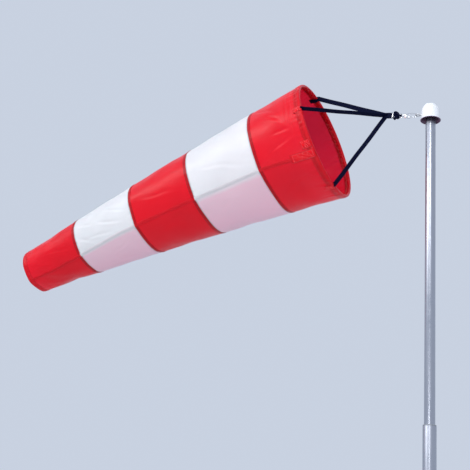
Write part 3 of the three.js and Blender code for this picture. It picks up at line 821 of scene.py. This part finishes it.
def ring_seam(index):
    """The felled seam that joins two bands, folded over onto the red one."""
    side = felled_side(index)
    place, width = SEAMS[index], sizes().seam_width
    share, lift = np.array(FELLED).T
    s, turn = np.meshgrid(place + side * share * width, turns(480), indexing="ij")
    uv = np.stack([turn * LINE.radius(place), s], axis=2)
    grid = skin().at(s, turn, lift[:, None] * MM)
    # Painted shade: the 'seam' value darkens the whole felled strip.
    values = {"seam": np.full(s.shape, 0.95), "under": undersides(turn)}
    obj = sewn(f"ring_seam_{index + 1}", grid[::side], uv[::side], values, SEAM_CLOTH, [], "red_nylon")


def long_seam(index):
    """The length of felled seam along one band."""
    name, width = BANDS[index], sizes().seam_width
    start = HEM_DEPTH if index == 0 else SEAMS[index - 1]
    end = LINE.length - TAIL_HEM if index == len(BANDS) - 1 else SEAMS[index]
    share, lift = np.array(FELLED).T
    s, across = np.meshgrid(np.linspace(start, end, round((end - start) / (3 * MM))), (share - 0.5) * width,
                            indexing="ij")
    grid = skin().at(s, across / LINE.radius(s), lift[None] * MM + 0.15 * MM)
    uv = np.stack([across, s], axis=2)
    # Painted shade from the 'seam' value, and a faint painted red glow from 'under' on white seams.
    values = {"seam": np.full(s.shape, 0.3), "under": np.full(s.shape, 0.15)}
    obj = sewn(f"lengthwise_seam_{index + 1}", grid, uv, values, SEAM_CLOTH, [], nylon_for(name))


HEM_CLOTH = 0.3  # thickness in mm of a hem's layer

# The hem's cross-section round the hoop: distance from the mouth and step out from the sock's radius, in mm.
HOOP_CHANNEL = [(17.0, 0.3), (16.2, 0.85), (14.6, 0.95), (13.6, 0.45), (12.0, 1.0), (9.0, 1.5), (6.0, 1.4),
                (3.0, 0.6), (1.0, -0.7), (0.0, -2.2), (-0.2, -3.7), (0.3, -5.3), (1.8, -6.8), (4.2, -7.5),
                (7.5, -6.6), (10.5, -4.9), (12.8, -3.3), (14.2, -2.6), (15.6, -2.7), (17.0, -1.3)]


def hem_piece():
    """The cloth channel that holds the hoop, gathered along its stitching."""
    stations, steps = (np.array(HOOP_CHANNEL) * MM).T
    count = 540
    turn = turns(count)[:-1]
    s, turn = np.meshgrid(stations, turn, indexing="ij")
    step = np.repeat(steps[:, None], count, axis=1)
    inner = smooth((-step / MM - 2.0) / 2.5)
    gather = smooth(s / (12 * MM))
    outer_wave = wave_sum(turn, (23, 37, 58, 83), 0)
    inner_wave = wave_sum(turn, (31, 52, 77, 101), 5)
    step = step + gather * MM * ((1 - inner) * 0.55 * outer_wave + inner * 1.5 * inner_wave)
    s = s + 0.9 * MM * inner * gather * wave_sum(turn, (29, 45, 66), 8)
    angle = turn + seam_at(0)
    radius = np.array([LINE.radius(max(x, 0)) for x in stations])[:, None] + step
    walked = np.cumsum(np.hypot(np.diff(stations, prepend=stations[0]), np.diff(steps, prepend=steps[0])))
    uv = np.stack([turn * LINE.mouth_radius, np.repeat(walked[:, None], count, axis=1)], axis=2)
    grid = place_rows(s, angle, radius)
    uv = np.concatenate([uv, uv[-1:] + [0, 2 * MM]])
    # Painted shade: the 'seam' value darkens the hem along its gathered stitching.
    values = {"seam": gather * 0.6, "under": undersides(turn)}
    obj = sewn("mouth_hem_channel", grid, uv, values, HEM_CLOTH, ["mouth_hem"], "red_nylon", folded=True)


# The tail hem's cross-section: distance back from the end and lift off the cloth, in mm.
TAIL_FOLD = [(14.5, 0.05), (13.8, 0.6), (12.2, 0.7), (11.6, 0.35), (10.8, 0.75), (3.0, 0.8), (1.0, 0.7),
             (0.2, 0.35), (0.0, -0.3), (0.3, -0.9), (1.2, -1.15), (10.8, -1.1), (13.8, -0.95), (14.5, -0.35)]


def tail_piece():
    """The folded hem round the sock's open end."""
    back, lift = (np.array(TAIL_FOLD) * MM).T
    s, turn = np.meshgrid(LINE.length - back, turns(360)[:-1], indexing="ij")
    grid = skin().at(s, turn, lift[:, None])
    uv = np.stack([turn * LINE.tail_radius, s], axis=2)
    uv = np.concatenate([uv, uv[:1]])
    # Painted shade: the 'seam' value darkens the tail's hem.
    values = {"seam": np.full(s.shape, 0.4), "under": undersides(turn)}
    obj = sewn("tail_hem_fold", grid, uv, values, HEM_CLOTH, ["tail_hem"], "red_nylon", folded=True)


# The hem's height under a patch: distance from the mouth and step out from the sock's radius, in mm.
OVER_HEM = [(-1, -1.0), (1, -0.7), (3, 0.6), (6, 1.4), (9, 1.5), (12, 1.0), (14, 0.9), (16.2, 0.85), (18, 0.2)]


def patch(name, turn_centre, start, size, nodes, lift=1.6, wave=0.5):
    """A rectangle of doubled nylon sewn over the hem, its edges turned in."""
    width, length = size
    v, u = np.meshgrid(np.linspace(0, 1, 30), np.linspace(-1, 1, 22), indexing="ij")
    s = start + v * length
    edge = np.minimum(1 - np.abs(u), 2 * np.minimum(v, 1 - v) * length / width)
    rise = lift * smooth(edge / 0.07) + 0.5 * smooth((edge - 0.2) / 0.2)
    rise = rise - 0.7 * np.exp(-((edge - 0.2) / 0.07) ** 2)
    turn = turn_centre + u * width / 2 / LINE.mouth_radius
    over = np.interp(s / MM, *zip(*OVER_HEM))
    rise = rise + wave * wave_sum(turn * 4 + v, (11, 17, 26), 3)
    radius = LINE.radius(s) + (over + rise) * MM
    cloth = skin().at(s, turn, (rise + 0.25) * MM)
    hem = place_rows(s, turn + seam_at(0), radius)
    mix = smooth((s - HEM_DEPTH - 1 * MM) / (5 * MM))[..., None]
    grid = hem * (1 - mix) + cloth * mix
    uv = np.stack([u * width / 2, s], axis=2)
    # Painted shade: the 'seam' value darkens the patch towards its turned-in edges.
    values = {"seam": np.exp(-edge / 0.12), "under": np.zeros(s.shape)}
    obj = sewn(name, grid, uv, values, 0.6, nodes, "red_nylon")
    outline = np.concatenate([grid[3, 2:-2], grid[3:-3, -3], grid[-4, -3:1:-1], grid[-4:2:-1, 2]])
    zigzag = np.array([grid[i, 4 if k % 2 else -5] for k, i in enumerate(range(5, len(v) - 4, 3))])
    for run in (outline, zigzag):
        out = run - np.array(LINE.centre(start + length / 2))
        out /= np.linalg.norm(out, axis=1, keepdims=True)
        SHARED.setdefault("patch_runs", []).append((run + out * 0.1 * MM, run + out * MM))


def rim_zigzag(first, last):
    """Zigzag stitching along the inner edge of the mouth's hem, between two angles past the seam."""
    turn = np.radians(np.arange(first, last, 0.9))[:, None]
    s = np.where(np.arange(len(turn)) % 2, 8.5, 14.5)[:, None] * MM
    inner = np.interp(s / MM, [7.5, 10.5, 12.8, 14.2], [-7.6, -6.0, -4.4, -3.7]) * MM
    radius = LINE.radius(s) + inner + 0.5 * MM * wave_sum(turn, (31, 52, 77), 5)
    run = place_rows(s, turn + seam_at(0), radius)[:, 0]
    lifted = place_rows(s, turn + seam_at(0), radius - MM)[:, 0]
    return run, lifted


def stitches(name, runs, finish):
    """Rows of thread stitches: one is modelled, and copied along each run of points."""
    deselect()
    bpy.ops.mesh.primitive_ico_sphere_add(subdivisions=1, radius=1)
    model = bpy.context.object
    corners = np.array([v.co for v in model.data.vertices])
    faces = np.array([list(p.vertices) for p in model.data.polygons])
    bpy.data.objects.remove(model)
    length = sizes().stitch
    local = corners * np.array([0.36 * length, 0.32 * MM, 0.22 * MM])
    points = []
    for path, lifted in runs:
        gaps = np.linalg.norm(np.diff(path, axis=0), axis=1)
        walk = np.concatenate([[0], np.cumsum(gaps)])
        count = max(2, int(walk[-1] / length))
        at = (np.arange(count) + 0.5) * walk[-1] / count

        def placed(line, at):
            return np.stack([np.interp(at, walk, line[:, k]) for k in range(3)], axis=1)

        here = placed(path, at)
        run = placed(path, at + 0.3 * MM) - here
        out = placed(lifted, at) - here
        run /= np.linalg.norm(run, axis=1, keepdims=True)
        out -= run * (out * run).sum(axis=1, keepdims=True)
        out /= np.linalg.norm(out, axis=1, keepdims=True)
        axes = np.stack([run, np.cross(run, out), out], axis=1)
        points.append(here[:, None] + local @ axes)
    points = np.concatenate(points)
    every = (faces[None] + (np.arange(len(points)) * len(corners))[:, None, None]).reshape(-1, 3)
    finished(linked(name, points, every), name, [], finish, "sock")


def seam_run(s, turn, lift):
    """A stitch line on the cloth, and the same line lifted."""
    return skin().at(s, turn, lift)[0], skin().at(s, turn, lift + MM)[0]


def ring_run(s, lift):
    turn = turns(480)[None]
    return seam_run(np.full(turn.shape, s), turn, lift)


def long_run(start, end, across, lift):
    s = np.linspace(start, end, 200)[None]
    return seam_run(s, across / LINE.radius(s), lift)


# ---------- Bridle pieces ----------

def strap_piece(which):
    """One webbing strap: straight from the sleeve, then twisted flat and sewn inside the hem."""
    node = "strap_" + which
    start, end, width, across, thickness = long_axis(node)
    arm = end - LINE.mouth
    angle = math.atan2(arm.dot(LINE.up), arm.y)
    tangent = LINE.up * math.cos(angle) - Vector((0, 1, 0)) * math.sin(angle)
    if tangent.dot(across) < 0:
        tangent.negate()
    inside = [LINE.point(s * MM, angle, LINE.mouth_radius + r * MM)
              for s, r in ((-0.5, -6.0), (2, -8.3), (6, -9.0), (12, -7.6), (18, -4.6), (24, -3.2))]
    apex = sleeve_front()[1] - HOOK_DIR * 5 * MM
    straight = [apex.lerp(end, t) for t in np.linspace(0, 1, 40)]
    middle = straight + inside
    twist = [0.0] * 39 + [0.15, 0.4, 0.75] + [1.0] * (len(inside) - 2)
    rows, uv, walk = [], [], 0.0
    for i, (point, share) in enumerate(zip(middle, twist)):
        side = across.slerp(tangent, share) if share else across
        walk += (point - middle[i - 1]).length if i else 0
        edge = np.linspace(-0.5, 0.5, 7)
        sway = 0.5 * MM * math.sin(3.1 * i / 9)
        rows.append([point + side * (width * e) + side.cross(end - start).normalized() * sway for e in edge])
        uv.append([(width * e, walk) for e in edge])
    obj = sheet_mesh(node, np.array(rows), np.array(uv))
    apply(obj, "SOLIDIFY", thickness=thickness * 0.95, offset=0)
    clean(obj, 40)
    finished(obj, f"webbing_strap_{which}", [node], "black_webbing")


SLEEVE = (22, 15, 7)  # length, height and thickness in mm


def ring_reach(name):
    """How far from the swivel ring each corner of a node lies, the way the hook points."""
    return (node_points(name) - np.array(RING_EYE)) @ np.array(HOOK_DIR)


def sleeve_front():
    """How far from the swivel ring the sleeve starts, and the point where the straps meet inside it."""
    start = float(ring_reach("bridle_sleeve").min())
    return start, RING_EYE + HOOK_DIR * (start + SLEEVE[0] * MM)


def sleeve_piece():
    """The sewn sleeve where the straps meet, crowned between its stitched ends."""
    start, _ = sleeve_front()
    middle = RING_EYE + HOOK_DIR * (start + SLEEVE[0] / 2 * MM)
    obj = block(SLEEVE, stand(middle, HOOK_DIR, -NEAR), 1.8, cuts=4)
    for corner in obj.data.vertices:
        along = (corner.co - middle).dot(HOOK_DIR) / (SLEEVE[0] / 2 * MM)
        pinch = 0.86 + 0.14 * math.cos(along * math.pi * 1.5) if abs(along) < 0.95 else 0.9
        corner.co.y *= pinch
    finished(obj, "sewn_sleeve", ["bridle_sleeve"], "black_sleeve")


def knot_piece():
    """A knotted black cord loop: a tight overhand knot, and the loop that passes through the swivel ring."""
    reach = ring_reach("knotted_loop")
    far = float(reach.max())
    up = NEAR.cross(HOOK_DIR).normalized()
    if up.z < 0:
        up.negate()
    knot_length, knot_cord, loop_cord = 15 * MM, 3.4 * MM, 2.2 * MM
    middle = RING_EYE + HOOK_DIR * (far - knot_length / 2)
    knot = []
    for t in np.linspace(0, 2 * math.pi, 40, endpoint=False):
        a, b, c = math.sin(t) + 2 * math.sin(2 * t), math.cos(t) - 2 * math.cos(2 * t), -math.sin(3 * t)
        knot.append(middle + up * (a * 3.5 * MM) + HOOK_DIR * (b * 1.95 * MM) + NEAR * (c * 5.0 * MM))
    front = node_points("knotted_loop")[reach < reach.min() + 3 * MM]
    half_width = float(np.abs(front @ np.array(NEAR)).max()) - loop_cord
    first, eye = far - knot_length + 4 * MM, float(reach.min()) + loop_cord
    loop = []
    for t in np.linspace(0, 2 * math.pi, 24, endpoint=False):
        along = (first + eye) / 2 + (first - eye) / 2 * math.cos(t)
        loop.append(RING_EYE + HOOK_DIR * along + NEAR * (half_width * math.sin(t)))
    obj = join([wire(knot, knot_cord, 6), wire(loop, loop_cord, 4)])
    finished(obj, "knotted_cord", ["knotted_loop"], "black_cord")




# ---------- Operators ----------

class WINDSOCK_OT_finishes(bpy.types.Operator):
    """Makes the materials and gives the frame's own nodes theirs"""
    bl_idname = "windsock.finishes"
    bl_label = "Finishes"

    def execute(self, context):
        tint = colours()
        nylon("red_nylon", tint.red, 0.5)
        nylon("white_nylon", tint.white, 0.5, tuple(tint.painted_red_glow))
        webbing("black_webbing", tint.webbing)
        braid("black_sleeve", tint.webbing)
        braid("black_cord", tint.webbing)
        moulded("red_thread", shade(tint.red, 1.15), 0.6, 0.02)
        moulded("white_thread", shade(tint.white, 1.0), 0.6, 0.02)
        moulded("pale_thread", tint.thread, 0.6, 0.02)
        metal("pole_aluminium", tint.pole, 0.32, (14, 14, 0.12), 0.15)
        moulded("cap_paint", tint.cap, 0.32, 0.03, 0.35, 500)
        # Painted shade: a dark purple finish for the cap's hollow underside, which is only in shadow.
        moulded("cap_painted_shade", (0.15, 0.085, 0.145), 0.6)
        metal("hook_steel", (0.80, 0.81, 0.83), 0.16, (1, 1, 1), 0.3)
        metal("fastener_steel", (0.62, 0.63, 0.64), 0.28)
        metal("bearing_steel", (0.72, 0.73, 0.75), 0.12)
        metal("hoop_steel", (0.55, 0.56, 0.58), 0.3)
        moulded("collar_plastic", (0.30, 0.32, 0.35), 0.45)
        moulded("lock_plastic", (0.055, 0.058, 0.065), 0.4)
        moulded("foot_rubber", (0.018, 0.018, 0.019), 0.8, 0.12, 0.0, 500)
        for name, node in frame["nodes"].items():
            for holder in node.material_slots:
                holder.material = FINISHES[SLOT_OF[name]]
        return {"FINISHED"}


class WINDSOCK_OT_pole(bpy.types.Operator):
    """Tubes, guide collars and foot of the telescopic pole"""
    bl_idname = "windsock.pole"
    bl_label = "Pole"

    def execute(self, context):
        for name in ("base_tube", "middle_tube", "top_tube"):
            refined(name + "_drawn", name, "pole_aluminium", 0.2)
        for name in ("lower_collar", "upper_collar"):
            refined(name + "_moulded", name, "collar_plastic", 0.5, ring=True)
        refined("foot_plug_moulded", "foot_plug", "foot_rubber", 0.8, 40, 3, ring=True)
        return {"FINISHED"}


class WINDSOCK_OT_cap(bpy.types.Operator):
    """The domed swivel cap with painted shade inside, and its eye"""
    bl_idname = "windsock.cap"
    bl_label = "Swivel cap"

    def execute(self, context):
        obj = refined("swivel_cap_shell", "swivel_cap", ("cap_paint", "cap_painted_shade"), 0.5, 40, 3)
        low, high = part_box("swivel_cap")
        height = high[2] - low[2]
        bpy.ops.object.mode_set(mode="EDIT")
        bpy.ops.mesh.select_mode(type="EDGE")
        bpy.ops.mesh.select_all(action="DESELECT")
        bpy.ops.object.mode_set(mode="OBJECT")
        for edge in obj.data.edges:
            first, second = (obj.data.vertices[i].co for i in edge.vertices)
            edge.select = abs(first.z - second.z) > 0.3 * height
        bpy.ops.object.mode_set(mode="EDIT")
        bpy.ops.mesh.subdivide(number_cuts=14)
        bpy.ops.object.mode_set(mode="OBJECT")
        for corner in obj.data.vertices:
            reach = math.hypot(corner.co.x, corner.co.y) / high[0]
            rise = (corner.co.z - low[2]) / height
            slim = 1 - (0.10 * smooth((rise - 0.02) / 0.13) + 0.05 * rise) * smooth((reach - 0.6) / 0.2)
            corner.co.x *= slim
            corner.co.y *= slim
        # The hollow's faces, the bottom rim and the downward faces inside get the painted shade finish.
        for face in obj.data.polygons:
            reach = math.hypot(face.center.x, face.center.y)
            inwards = face.normal.x * face.center.x + face.normal.y * face.center.y < 0
            hidden = reach < 0.8 * high[0] and face.center.z < low[2] + 0.75 * height
            face.material_index = int(inwards or face.center.z < low[2] + 0.02 * height
                                      or (hidden and face.normal.z < 0.5))
        refined("cap_eye_ring", "cap_eye", "fastener_steel", 0.1, 50)
        return {"FINISHED"}


class WINDSOCK_OT_hook(bpy.types.Operator):
    """The snap hook, its sliding bolt and spring, and the swivel ring"""
    bl_idname = "windsock.hook"
    bl_label = "Snap hook"

    def execute(self, context):
        for name in ("hook_body", "hook_bolt", "hook_spring", "swivel_ring"):
            refined(name + "_plated", name, "hook_steel", 0.12, 50)
        refined("keeper_plate", "keeper_ring", "hook_steel", 0.5, 40, 3)
        return {"FINISHED"}


class WINDSOCK_OT_bridle(bpy.types.Operator):
    """Knotted cord, sewn sleeve and the three webbing straps"""
    bl_idname = "windsock.bridle"
    bl_label = "Bridle"

    def execute(self, context):
        knot_piece()
        sleeve_piece()
        for which in STRAPS:
            strap_piece(which)
        return {"FINISHED"}


class WINDSOCK_OT_bands(bpy.types.Operator):
    """The five cloth bands, filled by the wind"""
    bl_idname = "windsock.bands"
    bl_label = "Cloth bands"

    def execute(self, context):
        for index in range(len(BANDS)):
            band_piece(index)
        return {"FINISHED"}


class WINDSOCK_OT_hems(bpy.types.Operator):
    """The mouth's hem round its hoop, the tail's hem and the sewn patches"""
    bl_idname = "windsock.hems"
    bl_label = "Hems and patches"

    def execute(self, context):
        hem_piece()
        tail_piece()
        for which in STRAPS:
            node = "strap_patch_" + which
            low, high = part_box(node)
            middle = (Vector(low) + Vector(high)) / 2 - LINE.mouth
            turn = math.atan2(middle.dot(LINE.up), middle.y) - seam_at(0)
            patch(node + "_cloth", turn, 0.5 * MM, (15 * MM, 24 * MM), [node])
        patch("seam_end_patch", math.radians(-0.5), 1 * MM, (23 * MM, 68 * MM), [])
        patch("pull_patch", math.radians(-10), 4 * MM, (22 * MM, 26 * MM), [], 2.0, 0.9)
        return {"FINISHED"}


class WINDSOCK_OT_seams(bpy.types.Operator):
    """Felled seams round the sock and along it"""
    bl_idname = "windsock.seams"
    bl_label = "Seams"

    def execute(self, context):
        for index in range(len(SEAMS)):
            ring_seam(index)
        for index in range(len(BANDS)):
            long_seam(index)
        return {"FINISHED"}


class WINDSOCK_OT_stitching(bpy.types.Operator):
    """Rows of stitches along every seam and hem"""
    bl_idname = "windsock.stitching"
    bl_label = "Stitching"

    def execute(self, context):
        width = sizes().seam_width
        red, white = [], []
        for index, place in enumerate(SEAMS):
            side = felled_side(index)
            red += [ring_run(place + side * share * width, 0.42 * MM) for share in STITCH_LINES]
        red += [ring_run(LINE.length - 12 * MM, 0.6 * MM), ring_run(HEM_DEPTH - 1 * MM, 0.75 * MM)]
        for index, name in enumerate(BANDS):
            start = HEM_DEPTH + 2 * MM if index == 0 else SEAMS[index - 1] + 2 * MM
            end = LINE.length - TAIL_HEM if index == len(BANDS) - 1 else SEAMS[index] - 2 * MM
            for share in STITCH_LINES:
                run = long_run(start, end, (share - 0.5) * width, 0.6 * MM)
                (red if "red" in name else white).append(run)
        pale = SHARED.get("patch_runs", []) + [rim_zigzag(94, 190)]
        stitches("red_stitching", red, "red_thread")
        stitches("pale_stitching", pale, "pale_thread")
        stitches("white_stitching", white, "white_thread")
        return {"FINISHED"}


LAMP_TARGET = Vector((-0.6, 0, 2.2))
LAMP_REACH = 4.2
# Each lamp: its name, the way it stands from the target, its size, its share of the key light's power, its beam.
LAMPS = (
    ("key", (-0.52, -0.68, 0.53), (2.8, 0.8), 1, 180),
    ("front", (0.30, -0.78, 0.60), (0.5, 2.4), 0.72, 180),
    ("low", (0.20, -0.85, -0.42), (0.8, 0.8), 0.1, 70),
)


class WINDSOCK_OT_stage(bpy.types.Operator):
    """Pale floor, soft light all round, three lamps and the camera"""
    bl_idname = "windsock.stage"
    bl_label = "Stage"

    def execute(self, context):
        studio = context.scene.windsock_studio
        deselect()
        bpy.ops.mesh.primitive_plane_add(size=14)
        floor = context.object
        floor.name = "floor"
        ground = Finish("floor", {"Roughness": 0.85})
        speck = ground.noise(3, 4)
        ground.done(ground.mixed(ground.spread(speck, 0, 1), shade(studio.floor, 0.97), shade(studio.floor, 1.02)))
        floor.data.materials.append(ground.material)
        context.scene.view_settings.view_transform = "Standard"
        world = context.scene.world = context.scene.world or bpy.data.worlds.new("studio")
        world.use_nodes = True
        surround = world.node_tree.nodes["Background"].inputs
        surround["Color"].default_value = (*studio.sky, 1)
        surround["Strength"].default_value = 1.0
        for name, way, size, share, spread in LAMPS:
            bpy.ops.object.light_add(type="AREA", location=LAMP_TARGET + Vector(way).normalized() * LAMP_REACH)
            light = context.object
            light.name = name
            light.data.shape = "RECTANGLE"
            light.data.size, light.data.size_y = size
            light.data.energy = studio.key * share
            light.data.spread = math.radians(spread)
            light.rotation_euler = Vector(way).to_track_quat("Z", "Y").to_euler()
        yaw, pitch, roll = studio.yaw, studio.pitch, studio.roll
        ahead = Vector((math.sin(yaw) * math.cos(pitch), math.cos(yaw) * math.cos(pitch), math.sin(pitch)))
        right = Vector((math.cos(yaw), -math.sin(yaw), 0))
        above = right.cross(ahead)
        side = right * math.cos(roll) + above * math.sin(roll)
        above = above * math.cos(roll) - right * math.sin(roll)
        bpy.ops.object.camera_add()
        camera = context.object
        camera.matrix_world = Matrix.Translation(Vector(studio.camera)) @ Matrix(
            (side, above, -ahead)).transposed().to_4x4()
        camera.data.lens = studio.lens
        camera.data.sensor_width = 36
        context.scene.camera = camera
        return {"FINISHED"}


GROUPS = (SockCut, SockColours, Studio)
OPERATORS = (
    WINDSOCK_OT_stage, WINDSOCK_OT_finishes, WINDSOCK_OT_pole, WINDSOCK_OT_cap, WINDSOCK_OT_hook,
    WINDSOCK_OT_bridle, WINDSOCK_OT_bands, WINDSOCK_OT_hems, WINDSOCK_OT_seams, WINDSOCK_OT_stitching,
)


class WINDSOCK_PT_panel(bpy.types.Panel):
    """Sizes, colours and one button for each group of pieces"""
    bl_idname = "WINDSOCK_PT_panel"
    bl_label = "Windsock"
    bl_space_type = "VIEW_3D"
    bl_region_type = "UI"
    bl_category = "Windsock"

    def draw(self, context):
        for group in (context.scene.sock_cut, context.scene.sock_colours, context.scene.windsock_studio):
            box = self.layout.box()
            for key in group.bl_rna.properties.keys():
                if key not in ("rna_type", "name"):
                    box.prop(group, key)
        for operator in OPERATORS:
            self.layout.operator(operator.bl_idname)


def register():
    for each in GROUPS + OPERATORS + (WINDSOCK_PT_panel,):
        bpy.utils.register_class(each)
    bpy.types.Scene.sock_cut = PointerProperty(type=SockCut)
    bpy.types.Scene.sock_colours = PointerProperty(type=SockColours)
    bpy.types.Scene.windsock_studio = PointerProperty(type=Studio)


def unregister():
    del bpy.types.Scene.windsock_studio
    del bpy.types.Scene.sock_colours
    del bpy.types.Scene.sock_cut
    for each in reversed(GROUPS + OPERATORS + (WINDSOCK_PT_panel,)):
        bpy.utils.unregister_class(each)


def main():
    register()
    for operator in OPERATORS:
        group, name = operator.bl_idname.split(".")
        getattr(getattr(bpy.ops, group), name)()
    deselect()


if __name__ == "__main__":
    main()
